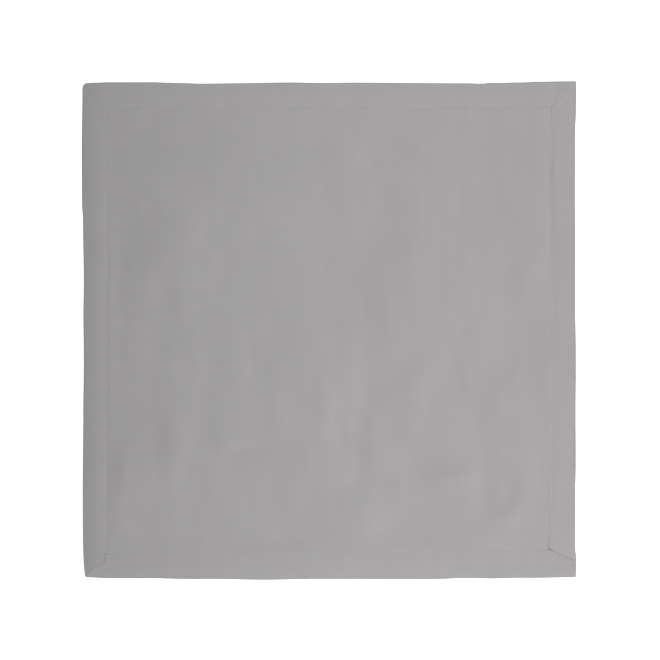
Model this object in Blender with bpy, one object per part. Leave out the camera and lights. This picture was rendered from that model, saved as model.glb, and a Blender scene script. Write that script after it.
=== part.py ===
"""A square table napkin lying open and flat, with its turned hems upward."""

import math
from collections import namedtuple

import bmesh
import bpy

MM = 0.001

# Driving sizes of the cloth
WIDTH = 448.4 * MM
LENGTH = 451.7 * MM
HEM_WIDTH = 23.0 * MM
FIELD_THICKNESS = 1.0 * MM

# How far a wander of the outer edge reaches into the cloth, the spacing of the field's mesh,
# and how near two points of the mesh are taken to lie on one line
EDGE_REACH = 70.0 * MM
FIELD_STEP = 9.0 * MM
SAME_LINE = 0.05 * MM

# The seam groove at each corner: a round channel of this radius, its middle at this height
SEAM_RADIUS = 0.7 * MM
SEAM_HEIGHT = 2.15 * MM
SEAM_SIDES_RESOLUTION = 1

NAPKIN_GREY = (0.33, 0.322, 0.326, 1.0)

# The hem in section, from the outer fold to the field, in mm: thin along the outer fold,
# thickest over the cloth turned in, pressed down along the stitching, then a step to the field
HemPoint = namedtuple("HemPoint", "inset top underside")
HEM_SECTION = [
    HemPoint(0.0, 1.0, 0.7),
    HemPoint(0.4, 1.45, 0.15),
    HemPoint(1.4, 1.6, 0.0),
    HemPoint(6.0, 1.75, 0.0),
    HemPoint(11.0, 2.0, 0.0),
    HemPoint(15.0, 2.15, 0.0),
    HemPoint(19.4, 2.1, 0.0),
    HemPoint(21.0, 1.8, 0.0),
    HemPoint(22.3, 1.95, 0.0),
    HemPoint(23.0, 1.6, 0.0),
    HemPoint(23.7, 1.0, 0.0),
]

# How far each edge lies outside a straight one, in mm. A row is a crest or a hollow of the
# edge, and at is its place along the edge, measured from the edge's middle
Wander = namedtuple("Wander", "at out")
EDGE_WANDER = {
    "left": [
        Wander(-223, -2.0),
        Wander(-211, -0.55),
        Wander(-187, 0.2),
        Wander(-74, -0.25),
        Wander(-29, -0.75),
        Wander(17, -0.3),
        Wander(44, -0.55),
        Wander(131, 0.9),
        Wander(163, 1.1),
        Wander(222, 0.35),
    ],
    "right": [
        Wander(-224, 0.7),
        Wander(-211, 0.75),
        Wander(-183, -0.2),
        Wander(-120, 0.4),
        Wander(-74, 0.25),
        Wander(-30, 0.45),
        Wander(26, -0.05),
        Wander(117, -0.5),
        Wander(163, -0.45),
        Wander(199, 0.5),
        Wander(224, 0.8),
    ],
    "far": [
        Wander(-222, -0.2),
        Wander(-198, 0.65),
        Wander(-161, 0.6),
        Wander(-111, -0.7),
        Wander(-34, 0.2),
        Wander(-6, -0.15),
        Wander(21, 0.1),
        Wander(139, -0.45),
        Wander(157, 0.15),
        Wander(176, 0.2),
        Wander(187, 0.9),
        Wander(220, 1.3),
    ],
    "near": [
        Wander(-222, -1.5),
        Wander(-198, -0.35),
        Wander(-161, -0.3),
        Wander(-61, 0.9),
        Wander(-6, 0.2),
        Wander(94, 0.0),
        Wander(130, -0.6),
        Wander(147, -0.2),
        Wander(176, -0.7),
        Wander(222, -1.5),
    ],
}

# How much wider than HEM_WIDTH the hem is, in mm, along the two sides where it changes
Widening = namedtuple("Widening", "at more")
HEM_WIDENING = {
    "right": [Widening(-180, 1.3), Widening(60, 0.2), Widening(200, -0.9)],
    "near": [
        Widening(-200, -0.8),
        Widening(-80, -1.5),
        Widening(-30, 0.4),
        Widening(40, 1.9),
        Widening(200, 2.2),
    ],
}

# Radius to which each corner is rounded, in mm
CORNER_RADIUS = {
    ("left", "far"): 3.0,
    ("right", "far"): 0.8,
    ("left", "near"): 2.6,
    ("right", "near"): 0.8,
}

# The seam where two hems meet at a corner, in mm from that corner's two edges
SeamPoint = namedtuple("SeamPoint", "from_side from_end")
CORNER_SEAMS = {
    ("left", "far"): [SeamPoint(2.6, 2.8), SeamPoint(10.0, 11.0), SeamPoint(21.0, 22.0)],
    ("right", "far"): [SeamPoint(2.4, 2.4), SeamPoint(11.0, 10.4), SeamPoint(20.5, 19.6)],
    ("left", "near"): [
        SeamPoint(3.4, 3.0),
        SeamPoint(10.8, 11.4),
        SeamPoint(18.0, 14.6),
        SeamPoint(20.2, 18.4),
        SeamPoint(20.5, 22.0),
    ],
    ("right", "near"): [
        SeamPoint(1.8, 15.8),
        SeamPoint(10.0, 18.9),
        SeamPoint(18.2, 22.3),
        SeamPoint(22.6, 25.0),
    ],
}

# Soft creases pressed into the field, in mm from the napkin's middle, their length turned
# anticlockwise from the X axis in degrees. rise is up for a ridge and down for a trough
Crease = namedtuple("Crease", "x y length turn width rise")
CREASES = [
    Crease(-80, -111, 130, 6, 22, -0.30),
    Crease(-66, -80, 60, 20, 26, 0.25),
    Crease(-16, -114, 64, 96, 20, 0.25),
    Crease(40, 168, 74, 90, 20, -0.28),
    Crease(34, 146, 86, 2, 20, -0.25),
    Crease(178, -164, 76, 62, 26, 0.28),
    Crease(24, -192, 50, 40, 22, 0.22),
    Crease(-186, -24, 44, 70, 20, -0.22),
]


def remove_old_objects():
    """Clear what the scene holds."""
    for old in list(bpy.data.objects):
        bpy.data.objects.remove(old, do_unlink=True)


def cloth_material():
    """Plain woven cloth."""
    material = bpy.data.materials.new("napkin_cloth")
    material.use_nodes = True
    shader = material.node_tree.nodes["Principled BSDF"]
    shader.inputs["Base Color"].default_value = NAPKIN_GREY
    shader.inputs["Roughness"].default_value = 0.9
    shader.inputs["Metallic"].default_value = 0.0
    return material


def smooth(share):
    """A share from 0 to 1 eased at both ends."""
    return share * share * (3 - 2 * share)


def along_table(table, at):
    """The second column of a table at a place, eased from row to row and level past its ends."""
    if at <= table[0][0]:
        return table[0][1]
    for (start, low), (end, high) in zip(table, table[1:]):
        if at <= end:
            return low + (high - low) * smooth((at - start) / (end - start))
    return table[-1][1]


def wander_fade(inset):
    """How much of an edge's wander is left at a distance in from it."""
    return 1 - smooth(min(inset / EDGE_REACH, 1.0))


def widening_share(inset):
    """How much of the hem's widening has built up at a distance in from the edge."""
    if inset < HEM_WIDTH:
        return inset / HEM_WIDTH
    return 1 - smooth(min((inset - HEM_WIDTH) / EDGE_REACH, 1.0))


def inward_shift(side, at, inset):
    """How far a point moves in from one side's edge, for the edge's wander and the hem's width."""
    shift = -along_table(EDGE_WANDER[side], at / MM) * wander_fade(inset)
    if side in HEM_WIDENING:
        shift += along_table(HEM_WIDENING[side], at / MM) * widening_share(inset)
    return shift * MM


def round_corner(u, v):
    """Bring a point near one of the square's corners in to that corner's arc."""
    corner = ("left" if u < 0 else "right", "near" if v < 0 else "far")
    radius = CORNER_RADIUS[corner] * MM
    past_u = abs(u) - (WIDTH / 2 - radius)
    past_v = abs(v) - (LENGTH / 2 - radius)
    if past_u <= 0 or past_v <= 0:
        return u, v
    pull = max(past_u, past_v) / math.hypot(past_u, past_v)
    return (
        math.copysign(WIDTH / 2 - radius + past_u * pull, u),
        math.copysign(LENGTH / 2 - radius + past_v * pull, v),
    )


def on_cloth(u, v):
    """Where a point of the exact square lies on the real, uneven outline."""
    x, y = round_corner(u, v)
    x += inward_shift("left", v, WIDTH / 2 + u) - inward_shift("right", v, WIDTH / 2 - u)
    y += inward_shift("near", u, LENGTH / 2 + v) - inward_shift("far", u, LENGTH / 2 - v)
    return x, y


def crease_rise(x, y):
    """The height that the soft creases add at a point."""
    rise = 0.0
    for crease in CREASES:
        turn = math.radians(crease.turn)
        dx = x / MM - crease.x
        dy = y / MM - crease.y
        along = (dx * math.cos(turn) + dy * math.sin(turn)) / (crease.length / 2)
        across = (dy * math.cos(turn) - dx * math.sin(turn)) / (crease.width / 2)
        if abs(along) < 1 and abs(across) < 1:
            rise += crease.rise * (1 - along**2) ** 2 * (1 - across**2) ** 2
    return rise * MM


def hem_row(inset):
    """The point of the hem's section at a distance in from the nearest edge, or None in the field."""
    for row in HEM_SECTION:
        if abs(inset - row.inset * MM) < SAME_LINE:
            return row
    return None


def line_places(full):
    """The places of the mesh's lines across the cloth, from one edge to the other."""
    near_edge = [row.inset * MM - full / 2 for row in HEM_SECTION]
    field = -2 * near_edge[-1]
    steps = round(field / FIELD_STEP)
    field_lines = [near_edge[-1] + field * step / steps for step in range(1, steps)]
    return near_edge + field_lines + [-place for place in reversed(near_edge)]


def square_grid(columns, rows):
    """An open grid whose lines lie at the given places."""
    mesh = bmesh.new()
    bmesh.ops.create_grid(mesh, x_segments=len(columns) - 1, y_segments=len(rows) - 1, size=0.5)
    for vert in mesh.verts:
        vert.co.x = columns[round((vert.co.x + 0.5) * (len(columns) - 1))]
        vert.co.y = rows[round((vert.co.y + 0.5) * (len(rows) - 1))]
    return mesh


def edge_inset(vert, axis):
    """A grid point's distance from the nearer edge across X (0) or Y (1)."""
    half = (WIDTH, LENGTH)[axis] / 2
    return half - abs(vert.co[axis])


def on_mitre(vert):
    """Whether a grid point lies on the line where two hems meet."""
    across, along = edge_inset(vert, 0), edge_inset(vert, 1)
    return abs(across - along) < SAME_LINE and across < HEM_SECTION[-1].inset * MM + SAME_LINE


def split_along_mitres(mesh):
    """Cut the faces on the four diagonals of the hems from corner to corner."""
    for face in list(mesh.faces):
        ends = [vert for vert in face.verts if on_mitre(vert)]
        if len(ends) == 2:
            bmesh.ops.connect_verts(mesh, verts=ends)


def napkin_mesh():
    """The napkin as one closed body: its underside flat, its top following hems and creases."""
    mesh = square_grid(line_places(WIDTH), line_places(LENGTH))
    split_along_mitres(mesh)
    underside = list(mesh.verts)
    raised = bmesh.ops.extrude_face_region(mesh, geom=mesh.faces[:])
    top = [item for item in raised["geom"] if isinstance(item, bmesh.types.BMVert)]
    for verts, is_top in ((underside, False), (top, True)):
        for vert in verts:
            row = hem_row(min(edge_inset(vert, 0), edge_inset(vert, 1)))
            x, y = on_cloth(vert.co.x, vert.co.y)
            if row:
                z = (row.top if is_top else row.underside) * MM
            else:
                z = FIELD_THICKNESS + crease_rise(x, y) if is_top else 0.0
            vert.co = (x, y, z)
    bmesh.ops.recalc_face_normals(mesh, faces=mesh.faces[:])
    return mesh


def seam_cutter(corner, path):
    """A thin rod lying along the seam of two hems, which cuts its groove."""
    side, end = corner
    curve = bpy.data.curves.new(f"{side}_{end}_seam", "CURVE")
    curve.dimensions = "3D"
    curve.bevel_depth = SEAM_RADIUS
    curve.bevel_resolution = SEAM_SIDES_RESOLUTION
    curve.use_fill_caps = True
    spline = curve.splines.new("POLY")
    spline.points.add(len(path) - 1)
    for point, seam in zip(spline.points, path):
        u = WIDTH / 2 - seam.from_side * MM
        v = LENGTH / 2 - seam.from_end * MM
        x, y = on_cloth(-u if side == "left" else u, -v if end == "near" else v)
        point.co = (x, y, SEAM_HEIGHT, 1.0)
    rod = bpy.data.objects.new(f"{side}_{end}_rod", curve)
    bpy.context.scene.collection.objects.link(rod)
    bpy.context.view_layer.update()
    solid = bpy.data.meshes.new_from_object(rod.evaluated_get(bpy.context.evaluated_depsgraph_get()))
    bpy.data.objects.remove(rod)
    cutter = bpy.data.objects.new(f"{side}_{end}_cutter", solid)
    cutter.hide_render = True
    cutter.display_type = "WIRE"
    bpy.context.scene.collection.objects.link(cutter)
    return cutter


def stand_on_origin(mesh):
    """Move the mesh so that the middle of its box is over the origin and it stands on the floor."""
    lows = [min(vert.co[axis] for vert in mesh.verts) for axis in range(3)]
    highs = [max(vert.co[axis] for vert in mesh.verts) for axis in range(3)]
    shift = (-(lows[0] + highs[0]) / 2, -(lows[1] + highs[1]) / 2, -lows[2])
    bmesh.ops.translate(mesh, verts=mesh.verts[:], vec=shift)
    return shift


def build():
    """Make the napkin."""
    remove_old_objects()
    mesh = napkin_mesh()
    shift = stand_on_origin(mesh)
    data = bpy.data.meshes.new("napkin")
    mesh.to_mesh(data)
    mesh.free()
    data.materials.append(cloth_material())
    data.shade_smooth()
    data.set_sharp_from_angle(angle=math.radians(40))
    napkin = bpy.data.objects.new("napkin", data)
    bpy.context.scene.collection.objects.link(napkin)
    for corner, path in CORNER_SEAMS.items():
        cutter = seam_cutter(corner, path)
        cutter.location = shift
        groove = napkin.modifiers.new(f"{corner[0]}_{corner[1]}_seam", "BOOLEAN")
        groove.operation = "DIFFERENCE"
        groove.object = cutter


build()
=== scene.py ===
"""The looks of a square table napkin lying open and flat with its turned, stitched hems upward."""

import math
from bisect import bisect_left
from collections import namedtuple

import bmesh
import bpy
from mathutils import Matrix, Vector, noise


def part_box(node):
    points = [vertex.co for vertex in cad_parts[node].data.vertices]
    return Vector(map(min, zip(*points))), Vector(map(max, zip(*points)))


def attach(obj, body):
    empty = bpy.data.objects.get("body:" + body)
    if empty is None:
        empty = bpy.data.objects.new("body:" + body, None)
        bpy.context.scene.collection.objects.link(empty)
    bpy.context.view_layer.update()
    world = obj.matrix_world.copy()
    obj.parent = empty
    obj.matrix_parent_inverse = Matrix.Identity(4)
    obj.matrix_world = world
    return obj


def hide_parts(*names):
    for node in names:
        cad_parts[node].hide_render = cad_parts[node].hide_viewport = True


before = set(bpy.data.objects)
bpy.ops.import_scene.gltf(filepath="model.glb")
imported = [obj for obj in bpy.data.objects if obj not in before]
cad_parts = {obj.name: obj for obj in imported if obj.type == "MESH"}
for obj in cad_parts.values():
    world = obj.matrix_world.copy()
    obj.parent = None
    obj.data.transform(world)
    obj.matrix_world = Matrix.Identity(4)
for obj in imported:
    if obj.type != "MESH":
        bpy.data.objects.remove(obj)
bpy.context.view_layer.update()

MM = 0.001
CAD_LOW, CAD_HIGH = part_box("napkin")
BODY = "root"

# Finished size between the straight edges, as in the solid
WIDTH = 448.4 * MM
LENGTH = 451.7 * MM
HALF = (WIDTH / 2, LENGTH / 2)

# The cloth's thickness, how far apart the middles of its layers lie in the hems, the radius to
# which it turns at the outer and at the inner fold, and how far off the floor it stays
CLOTH = 0.22 * MM
LAYER = 0.235 * MM
OUTER_FOLD = LAYER
INNER_FOLD = LAYER / 2
OFF_FLOOR = 0.06 * MM

# Hems: how wide they are, how far in their stitches run, how much is turned in under them, and
# how much shorter than the hem that part is at each end
HEM_WIDTH = 23.0 * MM
STITCH_INSET = 21.0 * MM
TURNED_IN = 10.0 * MM
SHORT_TURN = 3.0 * MM

# The cloth's mesh: cells along each side, steps round each fold, and where the lines of a hem
# run, in mm from its edge, over its top and in the part turned in under it
CELLS = 120
FOLD_STEPS = 4
TOP_LINES = (2.0, 5.0, 8.5, 12.0, 15.5, 18.7, 20.2, STITCH_INSET / MM, 21.8, 22.72)
TURNED_IN_LINES = (21.0, 17.0, HEM_WIDTH / MM - TURNED_IN / MM)

# How far a wander of the outer edge reaches into the cloth
EDGE_REACH = 70.0 * MM

# How far each edge lies outside a straight one, in mm. A row is a crest or a hollow of the
# edge, and at is its place along the edge, measured from the edge's middle
Wander = namedtuple("Wander", "at out")
EDGE_WANDER = {
    "left": [
        Wander(-223, -1.9),
        Wander(-211, -0.8),
        Wander(-187, -0.1),
        Wander(-145, 0.0),
        Wander(-74, -0.55),
        Wander(-29, -1.0),
        Wander(17, -0.65),
        Wander(44, -1.0),
        Wander(101, -0.3),
        Wander(116, 0.6),
        Wander(163, 0.85),
        Wander(222, 0.15),
    ],
    "right": [
        Wander(-224, 1.42),
        Wander(-211, 1.4),
        Wander(-200, 0.3),
        Wander(-150, 0.4),
        Wander(-120, 0.97),
        Wander(-74, 0.75),
        Wander(-30, 1.1),
        Wander(26, 0.42),
        Wander(70, 0.53),
        Wander(117, 0.13),
        Wander(163, 0.2),
        Wander(182, 0.4),
        Wander(201, 1.1),
        Wander(224, 1.28),
    ],
    "far": [
        Wander(-222, -0.3),
        Wander(-198, 0.35),
        Wander(-161, 0.42),
        Wander(-145, -0.1),
        Wander(-135, -0.27),
        Wander(-119, -0.85),
        Wander(-34, 0.2),
        Wander(-6, -0.15),
        Wander(21, 0.1),
        Wander(124, -0.48),
        Wander(138, -0.85),
        Wander(150, -0.02),
        Wander(176, 0.3),
        Wander(187, 0.98),
        Wander(220, 1.3),
    ],
    "near": [
        Wander(-222, -1.1),
        Wander(-198, -0.15),
        Wander(-161, -0.13),
        Wander(-125, 0.42),
        Wander(-108, 0.38),
        Wander(-61, 1.2),
        Wander(-6, 0.43),
        Wander(55, 0.55),
        Wander(94, 0.55),
        Wander(130, -0.45),
        Wander(148, 0.05),
        Wander(175, -0.55),
        Wander(186, -0.5),
        Wander(222, -1.08),
    ],
}

# How much wider than HEM_WIDTH the hem is, in mm, along the two sides where it changes
Widening = namedtuple("Widening", "at more")
HEM_WIDENING = {
    "right": [Widening(-180, 1.3), Widening(60, 0.2), Widening(200, -0.9)],
    "near": [
        Widening(-200, -0.8),
        Widening(-80, -1.5),
        Widening(-30, 0.4),
        Widening(40, 1.9),
        Widening(200, 2.2),
    ],
}

# How far the stitch lines and inner folds wobble, in mm, over what length, and which line of the
# noise each side follows
HEM_WOBBLE = 0.4
WOBBLE_SIZE = 16.0 * MM
WOBBLE_SEED = 11.3
WOBBLE_LINE = {"left": 4, "right": 5, "near": 4, "far": 3}

# Radius to which each corner is rounded, in mm
CORNER_RADIUS = {
    ("left", "far"): 5.0,
    ("right", "far"): 0.8,
    ("left", "near"): 2.6,
    ("right", "near"): 0.8,
}

# The seam where two hems meet at a corner, in mm from that corner's two edges, and how far it
# gapes there
SeamPoint = namedtuple("SeamPoint", "from_side from_end gap")
CORNER_SEAMS = {
    ("left", "far"): [SeamPoint(0, 0, 0.0), SeamPoint(10.0, 11.0, 0.0), SeamPoint(23.0, 24.0, 0.0)],
    ("right", "far"): [SeamPoint(0, 0, 0.0), SeamPoint(11.0, 10.4, 0.1), SeamPoint(23.0, 22.4, 0.1)],
    ("left", "near"): [
        SeamPoint(0, 0, 0.0),
        SeamPoint(4.9, 7.6, 0.05),
        SeamPoint(12.0, 11.4, 0.2),
        SeamPoint(18.2, 14.0, 0.4),
        SeamPoint(19.4, 17.6, 0.7),
        SeamPoint(19.8, 23.0, 0.9),
        SeamPoint(23.0, 23.6, 0.2),
    ],
    ("right", "near"): [
        SeamPoint(0.0, 13.3, 0.2),
        SeamPoint(4.0, 14.6, 0.8),
        SeamPoint(10.0, 17.2, 0.6),
        SeamPoint(18.2, 21.4, 0.2),
        SeamPoint(23.0, 25.0, 0.1),
    ],
}

# The hem's cut end turned under along a corner's seam: how far along the cloth, how far that
# stands past the seam, and how far down it has gone, in mm
LipStep = namedtuple("LipStep", "along out down")
LIP = [
    LipStep(0.0, 0.0, 0.0),
    LipStep(0.2, 0.1, 0.08),
    LipStep(0.45, 0.04, 0.25),
    LipStep(4.5, -3.8, 0.27),
]

# How much the cloth turned under along a seam raises the hems' ends, in mm, how far along the
# hems, and how far in from the edge it takes to build up
CORNER_BULK = {
    ("left", "far"): 0.15,
    ("right", "far"): 0.35,
    ("left", "near"): 0.5,
    ("right", "near"): 0.5,
}
BULK_REACH = 12.0 * MM
BULK_BUILDS_OVER = 11.0 * MM

# Cells at the start of its side that a hem doesn't grow from. The near hem runs out to the right
# edge below the lower right seam, so the right hem starts above that
SKIPPED_CELLS = {"left": 0, "right": 3.5, "near": 0, "far": 0}

# A hem: the axis it runs across, the way out, how far its middle is puffed up, in mm, and how
# much higher its ends lie than those of the hems that it meets, in mm
Hem = namedtuple("Hem", "name axis sign puff over")
HEMS = [
    Hem("left", 0, -1, 0.42, 0.0),
    Hem("right", 0, 1, 0.19, 0.0),
    Hem("near", 1, -1, 0.20, 0.15),
    Hem("far", 1, 1, 0.34, 0.15),
]

# Where a hem is puffed up most and over what width that ends, in mm from its edge, and how
# uneven that is along the hem
FULLEST = 13.0
FULLNESS_ENDS_OVER = 9.5
PUFF_UNEVEN = 0.45
PUFF_SIZE = 26.0 * MM

# Fine ripples over the hems: their height and the width that they build up over, in mm, their
# length along the hem, how much of that a step across the hem counts for, a seed for each hem,
# and how far a hem may sink below its flat layers
RIPPLE = 0.08
RIPPLE_BUILDS_OVER = 6.0
RIPPLE_SIZE = 7.0 * MM
RIPPLE_STRETCH = 0.4
HEM_SEED = 3.1
HEM_SEED_STEP = 7.7
HEM_SINKS = 0.02 * MM

# How far the stitching pulls a hem's top down along its line and around each hole, and how far
# from them that reaches
LINE_DIP = 0.05 * MM
LINE_DIP_REACH = 3.0 * MM
HOLE_DIP = 0.14 * MM
HOLE_DIP_SIZE = 0.8 * MM

# A needle hole is a small square pit: half its width over the corners, its wall and its depth
HOLE_RADIUS = 0.55 * MM
HOLE_WALL = 0.10 * MM
HOLE_DEPTH = 0.30 * MM

# How far the cloth stands off the floor, in mm, at places along each side: at its very edge
# and within
Lift = namedtuple("Lift", "at edge within")
EDGE_LIFT = {
    "left": [Lift(-190, 0.05, 1.5), Lift(-120, 0.0, 1.3), Lift(0, 0.0, 1.3), Lift(200, 0.0, 1.15)],
    "right": [Lift(-170, 0.1, 0.4), Lift(-80, 0.15, 0.2), Lift(200, 0.15, 0.2)],
    "far": [Lift(-150, 0.55, 0.2), Lift(60, 0.55, 0.2), Lift(105, 0.3, 0.3), Lift(170, 0.5, 0.2)],
    "near": [
        Lift(-205, 0.35, 0.5),
        Lift(-120, 0.30, 0.95),
        Lift(-63, 0.0, 1.2),
        Lift(28, 0.0, 1.5),
        Lift(101, 0.0, 1.65),
        Lift(163, 0.0, 1.0),
        Lift(205, 0.0, 0.6),
    ],
}

# The same in the middle of the field, how far in the sides' own lift reaches, over what width
# the cloth rises from each edge, and how much of that rise is eased
FIELD_LIFT = 1.7 * MM
LIFT_REACH = 90 * MM
EDGE_SLOPE = {"left": 12.5 * MM, "right": 12.5 * MM, "near": 17 * MM, "far": 12.5 * MM}
SLOPE_EASE = 0.18

# How much higher the field lies close inside the hems' inner folds, where it steps up to that,
# and one more line of the mesh that keeps the step narrow
SNUG = 0.43 * MM
SNUG_FROM = 23.05 * MM
SNUG_TO = 23.09 * MM
SNUG_EASED = 23.20 * MM

# How far the field falls from the inner folds of the left and the right hem, over what distance,
# and over what distance from the near and far hems the fall builds up
LEFT_FALL = 0.24 * MM
RIGHT_FALL = 0.12 * MM
FALL_REACH = 8.0 * MM
FALL_END_REACH = 30.0 * MM

# Soft creases pressed into the cloth, in mm from the napkin's middle, their length turned
# anticlockwise from the X axis in degrees. rise is up for a ridge and down for a trough, and
# CREASE_DEPTH is the height in mm of one whose rise is 1
CREASE_DEPTH = 1.8
Crease = namedtuple("Crease", "x y length turn width rise")
CREASES = [
    Crease(-80, -110, 110, 4, 20, -0.50),
    Crease(-62, -97, 80, 3, 18, 0.40),
    Crease(-14, -160, 84, 92, 26, -0.50),
    Crease(-37, -150, 40, 90, 14, 0.25),
    Crease(0, -74, 40, 80, 14, 0.25),
    Crease(-138, -92, 60, 88, 30, 0.40),
    Crease(37, 168, 74, 90, 18, -0.35),
    Crease(28, 150, 86, 2, 18, -0.45),
    Crease(90, 171, 26, -20, 16, 0.30),
    Crease(174, -160, 76, 62, 26, 0.50),
    Crease(136, -152, 50, 80, 30, -0.35),
    Crease(112, -133, 60, 0, 24, 0.45),
    Crease(128, -51, 20, 90, 12, 0.18),
    Crease(150, 1, 24, 80, 14, 0.22),
    Crease(170, -40, 20, 80, 14, 0.22),
    Crease(-190, -22, 46, 102, 12, -0.25),
    Crease(-143, 188, 30, 80, 14, 0.20),
    Crease(-181, 160, 100, 95, 14, -0.16),
    Crease(38, -186, 30, 90, 18, -0.30),
    Crease(120, -191, 38, 0, 14, -0.25),
    Crease(-136, -185, 40, 0, 16, -0.30),
    Crease(41, 214, 20, 90, 18, 0.25),
    Crease(122, 215, 18, 90, 20, 0.25),
    Crease(-210, 146, 24, 90, 24, 0.30),
    Crease(-208, -120, 22, 90, 26, 0.30),
    Crease(199, 183, 24, 90, 18, -0.22),
    Crease(206, 14, 28, 0, 12, -0.30),
    Crease(194, 60, 14, 90, 12, -0.20),
    Crease(201, 115, 16, 90, 12, -0.20),
    Crease(213, -106, 26, 40, 14, -0.25),
    Crease(-144, 197, 12, 100, 5, -0.10),
    Crease(-133, 194, 12, 95, 5, -0.08),
    Crease(-199, -212, 12, 20, 6, -0.08),
    Crease(-120, 206, 10, 92, 5, 0.09),
    Crease(59, 204, 12, 85, 5, 0.09),
    Crease(-36, -205, 12, 90, 6, -0.09),
    Crease(88, -203, 14, 92, 6, -0.09),
]

# Soft waves all over the field: how high and how far across, in mm, and how much of that a step
# along the Y axis counts for, which draws them out that way
Wave = namedtuple("Wave", "rise size stretch")
WAVES = [Wave(1.7, 70, 0.8), Wave(0.95, 32, 0.8), Wave(0.42, 15, 0.7), Wave(0.11, 7, 0.6)]
WAVE_SEED = 1.7
WAVE_SEED_STEP = 3.4

# How far in from the hems the waves build up, how high they are at the left and at the near end,
# and how much less at the right and at the far end
WAVES_BUILD_OVER = 14.0 * MM
WAVES_LEFT = 1.15
WAVES_RIGHT_LESS = 0.5
WAVES_NEAR = 1.55
WAVES_FAR_LESS = 0.55

# One stitch from hole to hole: place along it for a stitch one long, height over the cloth's
# surface in mm, and thickness for a thread one thick
THREAD = 0.40 * MM
THREAD_SIDES = 6
StitchRing = namedtuple("StitchRing", "at height size")
STITCH_RINGS = [
    StitchRing(-0.36, -0.30, 0.55),
    StitchRing(-0.31, -0.02, 0.85),
    StitchRing(-0.20, 0.10, 1.0),
    StitchRing(0.0, 0.14, 1.1),
    StitchRing(0.20, 0.10, 1.0),
    StitchRing(0.31, -0.02, 0.85),
    StitchRing(0.36, -0.30, 0.55),
]

# How deep the upper stitches are sunk at most, and how that comes and goes along a hem: its usual
# share, its range, the length of a stretch, and a seed for each hem
SUNK_STITCH = 0.24 * MM
SUNK_SHARE = 0.6
SUNK_RANGE = 1.4
SUNK_SIZE = 48.0 * MM
SUNK_SEED = 21.7
SUNK_SEED_STEP = 5.3

# Height of the lower stitches over the cloth's underside, and over the floor at least
UNDER_STITCH = 0.10 * MM
UNDER_STITCH_LOWEST = 0.38 * MM

# Cloth: its colour, how its shader is set, and how far apart its yarns lie
CLOTH_GREY = (0.3275, 0.3178, 0.3186)
CLOTH_FINISH = {
    "Metallic": 0.0,
    "Specular IOR Level": 0.25,
    "Sheen Weight": 0.12,
    "Sheen Roughness": 0.5,
}
WARP_PITCH = 0.52 * MM
WEFT_PITCH = 0.60 * MM

# The weave: height of a yarn where it goes under another, for 1 where it goes over, the tone of
# the painted shade in the gaps and their roughness, and how much paler and smoother the yarns'
# tops are, the paleness being painted light
YARN_UNDER = 0.3
GAP_PAINTED_SHADE_TONE = 0.962
YARN_TOP_PAINTED_LIGHT = 0.05
GAP_ROUGHNESS = 0.93
YARN_SMOOTHER = 0.08
CLOTH_BUMP = 0.5
CLOTH_BUMP_DEPTH = 0.07 * MM

# What makes the cloth uneven: the marks' size in mm along the X and the Y axis of the flat cloth,
# the detail of their noise, how much paler they are, and how far they stand out for a yarn one high
Mark = namedtuple("Mark", "name across along detail paler height")
MARKS = [
    Mark("fibres", 0.12, 0.12, 2.0, 0.0, 0.25),
    Mark("thick warp yarns", 1.6, 90.0, 2.0, 0.04, 0.4),
    Mark("thick weft yarns", 70.0, 1.8, 2.0, 0.03, 0.2),
    Mark("long streaks of dye", 16.0, 240.0, 1.0, 0.06, 0.0),
    Mark("patches of dye", 24.0, 30.0, 1.0, 0.05, 0.0),
]
DARKEST_TONE = 0.91

# Thread: its colour, how its shader is set, its tone and how much paler it is where it is worn,
# and how many worn stretches and how many strands there are to a metre
THREAD_GREY = (0.423, 0.411, 0.411)
THREAD_FINISH = {"Roughness": 0.6, "Sheen Weight": 0.2}
UNWORN_TONE = 0.6
WORN_PALER = 0.7
WORN_SCALE = 26.0
WORN_DETAIL = 1.0
STRAND_SCALE = 9000.0
STRAND_DETAIL = 2.0
THREAD_BUMP = 0.4
THREAD_BUMP_DEPTH = 0.05 * MM

# The floor glows a little, so that it stays white all round the napkin
FLOOR_SIZE = 24.0
FLOOR_FINISH = {
    "Base Color": (0.92, 0.92, 0.92, 1.0),
    "Roughness": 0.9,
    "Specular IOR Level": 0.0,
    "Emission Color": (1, 1, 1, 1),
    "Emission Strength": 0.6,
}

# Soft lamps: one far off at the near right that lights everything, a long one on the right whose
# beam fades towards the napkin's left side, and an even pale surround. spread is a beam's angle
Lamp = namedtuple("Lamp", "name place length height power target spread")
LAMPS = [
    Lamp("near_right", (1.744, -2.791, 3.069), 2.4, 2.4, 119.6, (0, 0, 0), math.pi),
    Lamp("right_beam", (1.39, 0.0, 1.296), 2.4, 0.6, 2.7, (0.16, 0, 0), 0.3),
]
SURROUND = 0.358

# Camera: straight above, with this much floor across the square picture
VIEW_WIDTH = 601.4 * MM
CAMERA_HEIGHT = 2.0
CAMERA_AT = (0.80 * MM, 0.58 * MM)
SENSOR_WIDTH = 36.0

# Layers of the cloth's mesh: a point's column in its hem, the hem it belongs to counted from 1,
# how far it sinks as the floor of a needle hole, and its place on the flat cloth
COLUMN = "column"
IN_HEM = "hem"
SUNK = "sunk"
CLOTH_MAP = "cloth"

# Lengths closer than this count as the same
TINY = 0.01 * MM


def smooth(share):
    """A share eased at both ends, and held between 0 and 1."""
    share = min(max(share, 0.0), 1.0)
    return share * share * (3 - 2 * share)


def along_table(table, at, column=1):
    """A column of a table at a place, eased from row to row and level past its ends."""
    if at <= table[0][0]:
        return table[0][column]
    for one, two in zip(table, table[1:]):
        if at <= two[0]:
            share = smooth((at - one[0]) / (two[0] - one[0]))
            return one[column] + (two[column] - one[column]) * share
    return table[-1][column]


def wander_fade(inset):
    """How much of an edge's wander is left at a distance in from it."""
    return 1 - smooth(inset / EDGE_REACH)


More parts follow.
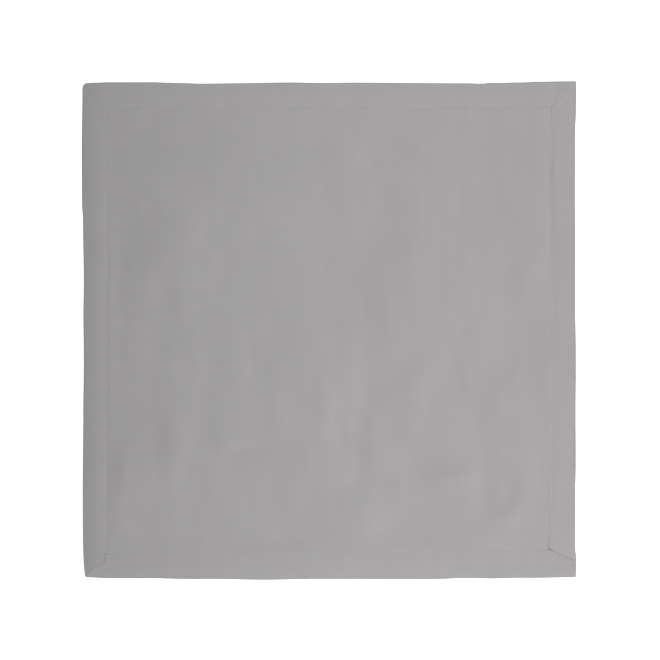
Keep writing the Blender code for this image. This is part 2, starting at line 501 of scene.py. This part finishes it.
def widening_share(inset):
    """How much of the hem's widening has built up at a distance in from the edge."""
    if inset < HEM_WIDTH:
        return inset / HEM_WIDTH
    return 1 - smooth((inset - HEM_WIDTH) / EDGE_REACH)


def inward_shift(side, at, inset):
    """How far a point moves in from one side's edge, for the edge's wander and the hem's width."""
    shift = -along_table(EDGE_WANDER[side], at / MM) * wander_fade(inset)
    wobble = HEM_WOBBLE * unevenness(at, WOBBLE_LINE[side], WOBBLE_SIZE, WOBBLE_SEED)
    shift += wobble * widening_share(inset)
    if side in HEM_WIDENING:
        shift += along_table(HEM_WIDENING[side], at / MM) * widening_share(inset)
    return shift * MM


def round_corner(u, v):
    """Bring a point near one of the square's corners in to that corner's arc."""
    corner = ("left" if u < 0 else "right", "near" if v < 0 else "far")
    radius = CORNER_RADIUS[corner] * MM
    past_u = abs(u) - (HALF[0] - radius)
    past_v = abs(v) - (HALF[1] - radius)
    if past_u <= 0 or past_v <= 0:
        return u, v
    pull = max(past_u, past_v) / math.hypot(past_u, past_v)
    return (
        math.copysign(HALF[0] - radius + past_u * pull, u),
        math.copysign(HALF[1] - radius + past_v * pull, v),
    )


def on_cloth(u, v):
    """Where a point of the exact square lies on the real, uneven outline."""
    x, y = round_corner(u, v)
    x += inward_shift("left", v, HALF[0] + u) - inward_shift("right", v, HALF[0] - u)
    y += inward_shift("near", u, HALF[1] + v) - inward_shift("far", u, HALF[1] - v)
    return x, y


def unevenness(x, y, size, seed):
    """Smooth noise between -1 and 1 with features of about the given size."""
    return noise.noise(Vector((x / size, y / size, seed)))


def crease_rise(x, y):
    """The height that the soft creases add at a point."""
    rise = 0.0
    for crease in CREASES:
        turn = math.radians(crease.turn)
        dx = x / MM - crease.x
        dy = y / MM - crease.y
        along = (dx * math.cos(turn) + dy * math.sin(turn)) / (crease.length / 2)
        across = (dy * math.cos(turn) - dx * math.sin(turn)) / (crease.width / 2)
        if abs(along) < 1 and abs(across) < 1:
            rise += CREASE_DEPTH * crease.rise * (1 - along**2) ** 2 * (1 - across**2) ** 2
    return rise * MM


def edge_insets(u, v):
    """Each side with the distance in from its edge and the place along it."""
    return (
        ("left", HALF[0] + u, v),
        ("right", HALF[0] - u, v),
        ("near", HALF[1] + v, u),
        ("far", HALF[1] - v, u),
    )


def up_and_level(share):
    """Rises evenly to 1 and stays there, the bend between the two eased."""
    past = share - (1 - SLOPE_EASE)
    if past < 0:
        return max(share, 0.0)
    if past > 2 * SLOPE_EASE:
        return 1.0
    return share - past**2 / (4 * SLOPE_EASE)


def standing(u, v):
    """How far the cloth stands off the floor, before its creases."""
    weights, more, slope, edges = 0.0, 0.0, 1.0, 0.0
    for side, inset, at in edge_insets(u, v):
        weight = 1 - smooth((inset - HEM_WIDTH) / LIFT_REACH)
        weights += weight
        more += weight * (along_table(EDGE_LIFT[side], at / MM, 2) * MM - FIELD_LIFT)
        near_edge = 1 - up_and_level(inset / EDGE_SLOPE[side])
        slope *= 1 - near_edge
        edges = max(edges, near_edge * along_table(EDGE_LIFT[side], at / MM, 1) * MM)
    return slope * (FIELD_LIFT + more / max(weights, 1.0)) + edges


def base_height(u, v):
    """Height of the middle of the lowest layer: down at the edges, up and uneven in the field."""
    across = HALF[0] - abs(u)
    along = HALF[1] - abs(v)
    inset = min(across, along)
    in_field = smooth((inset - HEM_WIDTH) / WAVES_BUILD_OVER)
    fall = RIGHT_FALL + (LEFT_FALL - RIGHT_FALL) * smooth(0.5 - u / WIDTH)
    fall *= smooth((across - SNUG_TO) / FALL_REACH) * smooth((along - SNUG_TO) / FALL_END_REACH)
    uneven = WAVES_LEFT - WAVES_RIGHT_LESS * smooth(0.5 + u / WIDTH)
    uneven *= WAVES_NEAR - WAVES_FAR_LESS * smooth(0.5 + v / LENGTH)
    waves = uneven * sum(
        wave.rise * unevenness(u, v * wave.stretch, wave.size * MM, WAVE_SEED + WAVE_SEED_STEP * index)
        for index, wave in enumerate(WAVES)
    )
    snug = smooth((inset - SNUG_FROM) / (SNUG_TO - SNUG_FROM))
    lift = standing(u, v) + in_field * waves * MM + snug * SNUG - fall
    return OFF_FLOOR + CLOTH / 2 + max(lift + crease_rise(u, v), 0.0)


# A line of mesh across a hem, in order round its folds: its distance in from the edge, and its
# height over the lowest layer. part says which layer it belongs to
SectionLine = namedtuple("SectionLine", "inset height part")


def hem_section():
    """The lines of a hem, round the outer fold, back over the top, round the inner fold and under."""
    lines = []
    for step in range(FOLD_STEPS + 1):
        turn = math.pi * step / FOLD_STEPS
        inset = OUTER_FOLD * (1 - math.sin(turn))
        lines.append(SectionLine(inset, OUTER_FOLD * (1 - math.cos(turn)), "outer fold"))
    for inset in TOP_LINES:
        lines.append(SectionLine(inset * MM, 2 * LAYER, "top"))
    for step in range(FOLD_STEPS + 1):
        turn = math.pi * step / FOLD_STEPS
        inset = HEM_WIDTH - INNER_FOLD * (1 - math.sin(turn))
        height = 2 * LAYER - INNER_FOLD * (1 - math.cos(turn))
        lines.append(SectionLine(inset, height, "inner fold"))
    for inset in TURNED_IN_LINES:
        lines.append(SectionLine(inset * MM, LAYER, "turned in"))
    return lines


SECTION = hem_section()
STITCH_LINE = [line.inset for line in SECTION].index(STITCH_INSET)


def along_cloth():
    """How far each line of the hem's section lies along the flat cloth from the outer fold."""
    reach = [0.0]
    for one, two in zip(SECTION, SECTION[1:]):
        reach.append(reach[-1] + math.hypot(two.inset - one.inset, two.height - one.height))
    return reach


REACH = along_cloth()


def seam_at(corner, hem, inset):
    """How far from a corner a hem ends, at a distance in from the hem's own edge."""
    points = CORNER_SEAMS[corner]
    if hem.axis == 1:
        points = [SeamPoint(point.from_end, point.from_side, point.gap) for point in points]
    inset /= MM
    first, last = points[0], points[-1]
    if inset <= first.from_side:
        place = first.from_end if hem.axis == 1 else max(first.from_end, inset)
        return (place + first.gap / 2) * MM
    for one, two in zip(points, points[1:]):
        if inset <= two.from_side:
            share = (inset - one.from_side) / (two.from_side - one.from_side)
            gap = one.gap + (two.gap - one.gap) * share
            return (one.from_end + (two.from_end - one.from_end) * share + gap / 2) * MM
    return (last.from_end + inset - last.from_side + last.gap / 2) * MM


def hem_corners(hem):
    """The corners at the low and the high end of a hem."""
    if hem.axis == 0:
        return [(hem.name, "near"), (hem.name, "far")]
    return [("left", hem.name), ("right", hem.name)]


def line_ends(hem, line):
    """Where a line of the hem's section starts and stops, along the hem."""
    half = HALF[1 - hem.axis]
    low, high = (max(seam_at(corner, hem, line.inset), OUTER_FOLD) for corner in hem_corners(hem))
    short = SHORT_TURN if line.part == "turned in" else 0.0
    return -half + low + short, half - high - short


def section_at(reach):
    """The hem's section at a distance along the cloth from the outer fold."""
    after = min(bisect_left(REACH, reach - TINY), len(SECTION) - 1)
    if after == 0 or abs(REACH[after] - reach) < TINY:
        return SECTION[after]
    one, two = SECTION[after - 1], SECTION[after]
    share = (reach - REACH[after - 1]) / (REACH[after] - REACH[after - 1])
    inset = one.inset + (two.inset - one.inset) * share
    return SectionLine(inset, one.height + (two.height - one.height) * share, one.part)


def boundary_edges(sheet, hem):
    """The open edges along one side of the middle square that this hem grows from."""
    half = HALF[hem.axis] - OUTER_FOLD
    cell = 2 * (HALF[1 - hem.axis] - OUTER_FOLD) / CELLS
    low = SKIPPED_CELLS[hem.name] * cell - HALF[1 - hem.axis]
    found = []
    for edge in sheet.edges:
        out = [vert.co[hem.axis] * hem.sign - half for vert in edge.verts]
        if len(edge.link_faces) == 1 and max(map(abs, out)) < TINY:
            if min(vert.co[1 - hem.axis] for vert in edge.verts) > low:
                found.append(edge)
    return found


def extrude_rim(mesh, edges):
    """Grow a row of edges, and give the points and the edges of the new rim."""
    made = bmesh.ops.extrude_edge_only(mesh, edges=edges)["geom"]
    verts = [item for item in made if isinstance(item, bmesh.types.BMVert)]
    fresh = set(verts)
    rim = [
        item
        for item in made
        if isinstance(item, bmesh.types.BMEdge) and fresh.issuperset(item.verts)
    ]
    return verts, rim


def grow_hem(sheet, hem, column, in_hem):
    """Extend the flat cloth past one side of its middle square, line by line of the hem."""
    edges = boundary_edges(sheet, hem)
    run = 1 - hem.axis
    verts = {vert for edge in edges for vert in edge.verts}
    places = sorted(vert.co[run] for vert in verts)
    for vert in verts:
        vert[column] = places.index(vert.co[run])
    last = len(places) - 1
    rows = [sorted(verts, key=lambda vert: vert[column])]
    for line, reach in zip(SECTION[1:], REACH[1:]):
        start, stop = line_ends(hem, line)
        verts, edges = extrude_rim(sheet, edges)
        for vert in verts:
            vert[in_hem] = HEMS.index(hem) + 1
            share = vert[column] / last
            vert.co[run] = start + (stop - start) * share
            vert.co[hem.axis] = hem.sign * (HALF[hem.axis] - OUTER_FOLD + reach)
        rows.append(sorted(verts, key=lambda vert: vert[column]))
    return rows


def shared_edge(one, two):
    """The edge between two points."""
    return next(edge for edge in one.link_edges if edge.other_vert(one) == two)


def grow_lips(sheet, hem, rows):
    """Extend the hem's two ends by the cloth that is turned under along the seams."""
    tops = [row for row, line in zip(rows, SECTION) if line.part == "top"]
    for end, way in ((0, -1), (-1, 1)):
        edges = [shared_edge(one[end], two[end]) for one, two in zip(tops, tops[1:])]
        for one, two in zip(LIP, LIP[1:]):
            verts, edges = extrude_rim(sheet, edges)
            for vert in verts:
                vert.co[1 - hem.axis] += way * (two.along - one.along) * MM


def stands_over(hem, at, line):
    """Extra height of a hem near its ends, where cloth is turned under along the seams."""
    raised = 0.0
    start, stop = line_ends(hem, line)
    for corner, away in zip(hem_corners(hem), (at - start, stop - at)):
        bulk = (CORNER_BULK[corner] + hem.over) * MM
        raised = max(raised, bulk * (1 - smooth(away / BULK_REACH)))
    return raised * min(line.height / (2 * LAYER), 1.0) * smooth(line.inset / BULK_BUILDS_OVER)


# How many stitches long each hem is, counted when its mesh is made: a stitch takes two columns
STITCHES = {}


def needle_places(hem):
    """Where the needle went through a hem, along it, leaving off a last half stitch."""
    start, stop = line_ends(hem, SECTION[STITCH_LINE])
    count = STITCHES[hem.name]
    return [start + (stop - start) * step / count for step in range(int(count) + 1)]


def stitch_dip(hem, at, line):
    """How far the stitching pulls the top of a hem down."""
    off_line = abs(line.inset - STITCH_INSET)
    if line.part != "top" or off_line > LINE_DIP_REACH:
        return 0.0
    start, stop = line_ends(hem, SECTION[STITCH_LINE])
    pitch = (stop - start) / STITCHES[hem.name]
    along = (at - start) / pitch
    off_hole = abs(along - round(along)) * pitch
    far = math.hypot(off_hole, off_line)
    around_hole = HOLE_DIP * math.exp(-((far / HOLE_DIP_SIZE) ** 2))
    return LINE_DIP * (1 - smooth(off_line / LINE_DIP_REACH)) + around_hole


def hem_height(hem, at, line):
    """Height of the middle of a hem's layer over the lowest layer."""
    if line.part == "turned in":
        return line.height
    inset = line.inset / MM
    seed = HEM_SEED + HEMS.index(hem) * HEM_SEED_STEP
    fullness = smooth(inset / FULLEST) * (1 - smooth((inset - FULLEST) / FULLNESS_ENDS_OVER))
    puff = fullness * hem.puff * (1 + PUFF_UNEVEN * unevenness(at, 0, PUFF_SIZE, seed))
    ripple = RIPPLE * unevenness(at, line.inset * RIPPLE_STRETCH, RIPPLE_SIZE, seed + 1)
    ripple *= smooth(inset / RIPPLE_BUILDS_OVER)
    rise = stands_over(hem, at, line) + (puff + ripple) * MM * min(line.height / (2 * LAYER), 1.0)
    return line.height + max(rise - stitch_dip(hem, at, line), -HEM_SINKS)


def folded_hem(hem, at, reach):
    """Where a point of a hem lies once it is turned, from its place on the flat cloth."""
    line = section_at(reach)
    start, stop = line_ends(hem, line)
    held = min(max(at, start), stop)
    past = abs(at - held)
    out, down = 0.0, 0.0
    if past > TINY:
        step = min(LIP, key=lambda entry: abs(entry.along * MM - past))
        out = step.out * MM * (1 if at > held else -1)
        down = step.down * MM
    spot = [0.0, 0.0]
    spot[hem.axis] = hem.sign * (HALF[hem.axis] - line.inset)
    spot[1 - hem.axis] = held + out
    under = list(spot)
    under[hem.axis] = hem.sign * (HALF[hem.axis] - min(line.inset, SNUG_FROM))
    x, y = on_cloth(*spot)
    return Vector((x, y, base_height(*under) + hem_height(hem, held, line) - down))


def lay_down(vert, in_hem, sunk):
    """Move a point of the flat cloth to where it lies on the finished napkin."""
    u, v = vert.co.x, vert.co.y
    if not vert[in_hem]:
        vert.co = (*on_cloth(u, v), base_height(u, v))
        return
    hem = HEMS[vert[in_hem] - 1]
    reach = vert.co[hem.axis] * hem.sign - (HALF[hem.axis] - OUTER_FOLD)
    vert.co = folded_hem(hem, vert.co[1 - hem.axis], reach)
    vert.co.z -= vert[sunk]


def cut_across_field(sheet, hem, inset):
    """Cut the field's cells along a line at a distance in from one edge."""
    across = [0.0, 0.0, 0.0]
    across[hem.axis] = hem.sign
    place = [(HALF[hem.axis] - inset) * value for value in across]
    end = HALF[1 - hem.axis] - HEM_WIDTH
    faces = [face for face in sheet.faces if abs(face.calc_center_median()[1 - hem.axis]) < end]
    edges = {edge for face in faces for edge in face.edges}
    verts = {vert for face in faces for vert in face.verts}
    bmesh.ops.bisect_plane(sheet, geom=[*verts, *edges, *faces], plane_co=place, plane_no=across)


def middle_square(sheet):
    """The part of the flat cloth inside its outer folds, its border cut twice as finely."""
    bmesh.ops.create_grid(sheet, x_segments=CELLS, y_segments=CELLS, size=1.0)
    size = (HALF[0] - OUTER_FOLD, HALF[1] - OUTER_FOLD, 1.0)
    bmesh.ops.scale(sheet, vec=size, verts=sheet.verts[:])
    for hem in HEMS:
        cut_across_field(sheet, hem, SNUG_FROM)
        cut_across_field(sheet, hem, SNUG_TO)
        cut_across_field(sheet, hem, SNUG_EASED)
    border = [edge for edge in sheet.edges if edge.is_boundary]
    bmesh.ops.subdivide_edges(sheet, edges=border, cuts=1)


def open_needle_holes(sheet, hem, holes, in_hem, sunk):
    """Turn each point where the needle went through a hem into a small pit."""
    made = bmesh.ops.bevel(
        sheet, geom=holes, offset=HOLE_RADIUS, offset_type="OFFSET", segments=1, affect="VERTICES"
    )
    # A pit's square measures about twice its radius squared, and the faces beside it more
    largest = 3 * HOLE_RADIUS**2
    pits = [face for face in made["faces"] if face.is_valid and face.calc_area() < largest]
    for face in pits:
        for vert in face.verts:
            vert[in_hem] = HEMS.index(hem) + 1
    bmesh.ops.inset_individual(sheet, faces=pits, thickness=HOLE_WALL)
    for face in pits:
        for vert in face.verts:
            vert[in_hem] = HEMS.index(hem) + 1
            vert[sunk] = HOLE_DEPTH


def map_flat_cloth(sheet, layer):
    """Keep each point's place on the flat cloth, in metres, as the map that the weave follows."""
    for face in sheet.faces:
        for loop in face.loops:
            loop[layer].uv = loop.vert.co.xy


def off_centre(sheet):
    """How far the middle of the napkin's box lies from the middle of the solid's."""
    shift = Vector((0, 0, 0))
    for axis in range(2):
        places = [vert.co[axis] for vert in sheet.verts]
        shift[axis] = (CAD_LOW[axis] + CAD_HIGH[axis]) / 2 - (min(places) + max(places)) / 2
    return shift


def napkin_cloth(material):
    """The whole cloth: cut flat, its hems turned over and under, and laid down. Also gives how
    far it was moved to stand over the solid."""
    sheet = bmesh.new()
    column = sheet.verts.layers.float.new(COLUMN)
    in_hem = sheet.verts.layers.int.new(IN_HEM)
    sunk = sheet.verts.layers.float.new(SUNK)
    flat_map = sheet.loops.layers.uv.new(CLOTH_MAP)
    middle_square(sheet)
    for hem in HEMS:
        rows = grow_hem(sheet, hem, column, in_hem)
        grow_lips(sheet, hem, rows)
        STITCHES[hem.name] = (len(rows[STITCH_LINE]) - 1) / 2
        open_needle_holes(sheet, hem, rows[STITCH_LINE][2:-1:2], in_hem, sunk)
    map_flat_cloth(sheet, flat_map)
    for vert in sheet.verts:
        lay_down(vert, in_hem, sunk)
    shift = off_centre(sheet)
    bmesh.ops.translate(sheet, verts=sheet.verts[:], vec=shift)
    bmesh.ops.recalc_face_normals(sheet, faces=sheet.faces[:])
    cloth = new_piece("napkin_cloth", sheet, material)
    wall = cloth.modifiers.new("cloth", "SOLIDIFY")
    wall.thickness = CLOTH
    wall.offset = 0.0
    return cloth, shift


def new_piece(name, mesh, material):
    """An object of a finished mesh, smooth all over."""
    data = bpy.data.meshes.new(name)
    mesh.to_mesh(data)
    mesh.free()
    data.materials.append(material)
    data.shade_smooth()
    piece = bpy.data.objects.new(name, data)
    bpy.context.scene.collection.objects.link(piece)
    return piece


def stitch_mesh(length):
    """A single stitch lying along X, its ends going down into their holes."""
    stitch = bmesh.new()
    ring = bmesh.ops.create_circle(stitch, segments=THREAD_SIDES, radius=THREAD / 2)["verts"]
    bmesh.ops.rotate(stitch, verts=ring, matrix=Matrix.Rotation(math.pi / 2, 3, "Y"))
    edges = stitch.edges[:]
    first = STITCH_RINGS[0]
    bmesh.ops.scale(stitch, verts=ring, vec=(1, first.size, first.size))
    bmesh.ops.translate(stitch, verts=ring, vec=(first.at * length, 0, first.height * MM))
    for one, two in zip(STITCH_RINGS, STITCH_RINGS[1:]):
        ring, edges = extrude_rim(stitch, edges)
        middle = Vector((one.at * length, 0, one.height * MM))
        grow = two.size / one.size
        about = Matrix.Translation(-middle)
        bmesh.ops.scale(stitch, verts=ring, vec=(1, grow, grow), space=about)
        step = ((two.at - one.at) * length, 0, (two.height - one.height) * MM)
        bmesh.ops.translate(stitch, verts=ring, vec=step)
    bmesh.ops.recalc_face_normals(stitch, faces=stitch.faces[:])
    data = bpy.data.meshes.new("stitch")
    stitch.to_mesh(data)
    stitch.free()
    return data


def stitching(shift, material):
    """Every stitch of the four hems, above the cloth and below it."""
    sewn = bmesh.new()
    for hem in HEMS:
        places = needle_places(hem)
        stitch = stitch_mesh(places[1] - places[0])
        seed = SUNK_SEED + SUNK_SEED_STEP * HEMS.index(hem)
        for one, two in zip(places, places[1:]):
            low, middle, high = (
                folded_hem(hem, at, REACH[STITCH_LINE]) + shift for at in (one, (one + two) / 2, two)
            )
            turn = math.atan2(high.y - low.y, high.x - low.x)
            spot = [0.0, 0.0]
            spot[hem.axis] = hem.sign * (HALF[hem.axis] - STITCH_INSET)
            spot[1 - hem.axis] = (one + two) / 2
            below = max(base_height(*spot) - CLOTH / 2 + UNDER_STITCH, UNDER_STITCH_LOWEST)
            sunk = SUNK_STITCH * smooth(SUNK_SHARE + SUNK_RANGE * unevenness(one, 0, SUNK_SIZE, seed))
            for height, flip in ((middle.z + CLOTH / 2 - sunk, 0.0), (below, math.pi)):
                before = len(sewn.verts)
                sewn.from_mesh(stitch)
                sewn.verts.ensure_lookup_table()
                place = Matrix.Translation((middle.x, middle.y, height))
                place @= Matrix.Rotation(turn, 4, "Z") @ Matrix.Rotation(flip, 4, "X")
                bmesh.ops.transform(sewn, matrix=place, verts=sewn.verts[before:])
        bpy.data.meshes.remove(stitch)
    return new_piece("hem_stitching", sewn, material)


def maths(tree, operation, *values):
    """A Math node over numbers or sockets, as its output."""
    node = tree.nodes.new("ShaderNodeMath")
    node.operation = operation
    for socket, value in zip(node.inputs, values):
        if isinstance(value, (int, float)):
            socket.default_value = value
        else:
            tree.links.new(value, socket)
    return node.outputs[0]


def new_material(name, finish):
    """A material with its shader set, and that shader."""
    material = bpy.data.materials.new(name)
    material.use_nodes = True
    shader = material.node_tree.nodes["Principled BSDF"]
    for socket, value in finish.items():
        shader.inputs[socket].default_value = value
    return material, shader


def noise_share(tree, place, scale, detail):
    """Noise from 0 to 1 at a place."""
    texture = tree.nodes.new("ShaderNodeTexNoise")
    texture.inputs["Scale"].default_value = scale
    texture.inputs["Detail"].default_value = detail
    tree.links.new(place, texture.inputs["Vector"])
    return texture.outputs["Fac"]


def set_colour(tree, shader, colour, tone):
    """Give the shader a colour, made paler or darker by a tone."""
    scaled = tree.nodes.new("ShaderNodeVectorMath")
    scaled.operation = "SCALE"
    scaled.inputs[0].default_value = colour
    tree.links.new(tone, scaled.inputs["Scale"])
    tree.links.new(scaled.outputs[0], shader.inputs["Base Color"])


def set_bump(tree, shader, height, strength, depth):
    """Give the shader a fine relief."""
    bump = tree.nodes.new("ShaderNodeBump")
    bump.inputs["Strength"].default_value = strength
    bump.inputs["Distance"].default_value = depth
    tree.links.new(height, bump.inputs["Height"])
    tree.links.new(bump.outputs[0], shader.inputs["Normal"])


def yarn_height(tree, place, over):
    """Height of a yarn, round in section, at a place counted in yarns. over is 1 where it goes
    over the other yarns and 0 where it goes under."""
    rounded = maths(tree, "ABSOLUTE", maths(tree, "SINE", maths(tree, "MULTIPLY", place, math.pi)))
    level = maths(tree, "MULTIPLY_ADD", over, 1 - YARN_UNDER, YARN_UNDER)
    return maths(tree, "MULTIPLY", rounded, level)


def woven(tree, u, v):
    """Height of a plain weave at a place on the flat cloth, from 0 in its gaps to 1 on a yarn."""
    warp = maths(tree, "DIVIDE", u, WARP_PITCH)
    weft = maths(tree, "DIVIDE", v, WEFT_PITCH)
    turned = maths(tree, "ADD", weft, maths(tree, "FLOOR", warp))
    over = maths(tree, "COSINE", maths(tree, "MULTIPLY", turned, math.pi))
    share = maths(tree, "MULTIPLY_ADD", over, 0.5, 0.5)
    under = maths(tree, "SUBTRACT", 1.0, share)
    return maths(tree, "MAXIMUM", yarn_height(tree, warp, share), yarn_height(tree, weft, under))


def mark_share(tree, u, v, mark):
    """How much of a kind of mark there is at a place on the flat cloth, from 0 to 1."""
    place = tree.nodes.new("ShaderNodeCombineXYZ")
    place.label = mark.name
    tree.links.new(maths(tree, "DIVIDE", u, mark.across * MM), place.inputs["X"])
    tree.links.new(maths(tree, "DIVIDE", v, mark.along * MM), place.inputs["Y"])
    return noise_share(tree, place.outputs[0], 1.0, mark.detail)


def cloth_material():
    """Matt plain-woven cloth with slightly uneven yarns."""
    material, shader = new_material("grey_plain_weave", CLOTH_FINISH)
    tree = material.node_tree
    place = tree.nodes.new("ShaderNodeUVMap")
    place.uv_map = CLOTH_MAP
    split = tree.nodes.new("ShaderNodeSeparateXYZ")
    tree.links.new(place.outputs["UV"], split.inputs[0])
    u, v = split.outputs["X"], split.outputs["Y"]
    weave = woven(tree, u, v)
    tone = DARKEST_TONE
    height = weave
    for mark in MARKS:
        share = mark_share(tree, u, v, mark)
        tone = maths(tree, "MULTIPLY_ADD", share, mark.paler, tone)
        height = maths(tree, "MULTIPLY_ADD", share, mark.height, height)
    # Painted shade and light: the weave's gaps are darkened and the yarns' tops made paler in the
    # colour
    tone = maths(tree, "MULTIPLY", tone, maths(tree, "MULTIPLY_ADD", weave, YARN_TOP_PAINTED_LIGHT, GAP_PAINTED_SHADE_TONE))
    set_colour(tree, shader, CLOTH_GREY, tone)
    roughness = maths(tree, "MULTIPLY_ADD", weave, -YARN_SMOOTHER, GAP_ROUGHNESS)
    tree.links.new(roughness, shader.inputs["Roughness"])
    set_bump(tree, shader, height, CLOTH_BUMP, CLOTH_BUMP_DEPTH)
    return material


def thread_material():
    """Sewing thread a little paler than the cloth, more so in places, with fine strands."""
    material, shader = new_material("sewing_thread", THREAD_FINISH)
    tree = material.node_tree
    place = tree.nodes.new("ShaderNodeTexCoord").outputs["Object"]
    worn = noise_share(tree, place, WORN_SCALE, WORN_DETAIL)
    tone = maths(tree, "MULTIPLY_ADD", worn, WORN_PALER, UNWORN_TONE)
    set_colour(tree, shader, THREAD_GREY, tone)
    strands = noise_share(tree, place, STRAND_SCALE, STRAND_DETAIL)
    set_bump(tree, shader, strands, THREAD_BUMP, THREAD_BUMP_DEPTH)
    return material


def floor():
    """A plain white surface to lie on."""
    mesh = bmesh.new()
    bmesh.ops.create_grid(mesh, x_segments=1, y_segments=1, size=FLOOR_SIZE / 2)
    new_piece("floor", mesh, new_material("white_floor", FLOOR_FINISH)[0])


def aim(thing, target):
    """Turn a lamp or camera to face a point."""
    thing.rotation_euler = (Vector(target) - thing.location).to_track_quat("-Z", "Y").to_euler()


def light():
    """Soft studio light."""
    for entry in LAMPS:
        lamp = bpy.data.lights.new(entry.name, "AREA")
        lamp.shape = "RECTANGLE"
        lamp.size = entry.length
        lamp.size_y = entry.height
        lamp.energy = entry.power
        lamp.spread = entry.spread
        holder = bpy.data.objects.new(entry.name, lamp)
        holder.location = entry.place
        aim(holder, entry.target)
        bpy.context.scene.collection.objects.link(holder)
    world = bpy.data.worlds.new("surround")
    world.use_nodes = True
    backdrop = world.node_tree.nodes["Background"]
    backdrop.inputs["Color"].default_value = (1, 1, 1, 1)
    backdrop.inputs["Strength"].default_value = SURROUND
    bpy.context.scene.world = world
    bpy.context.scene.view_settings.view_transform = "Standard"


def camera():
    """Look straight down on the napkin."""
    lens = bpy.data.cameras.new("camera")
    lens.sensor_width = SENSOR_WIDTH
    lens.lens = SENSOR_WIDTH * CAMERA_HEIGHT / VIEW_WIDTH
    holder = bpy.data.objects.new("camera", lens)
    holder.location = (*CAMERA_AT, CAMERA_HEIGHT)
    bpy.context.scene.collection.objects.link(holder)
    bpy.context.scene.camera = holder


def build():
    """Make the napkin, the floor, the light and the camera."""
    cloth, shift = napkin_cloth(cloth_material())
    sewn = stitching(shift, thread_material())
    for piece in (cloth, sewn):
        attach(piece, BODY)
    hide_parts("napkin")
    floor()
    light()
    camera()


build()
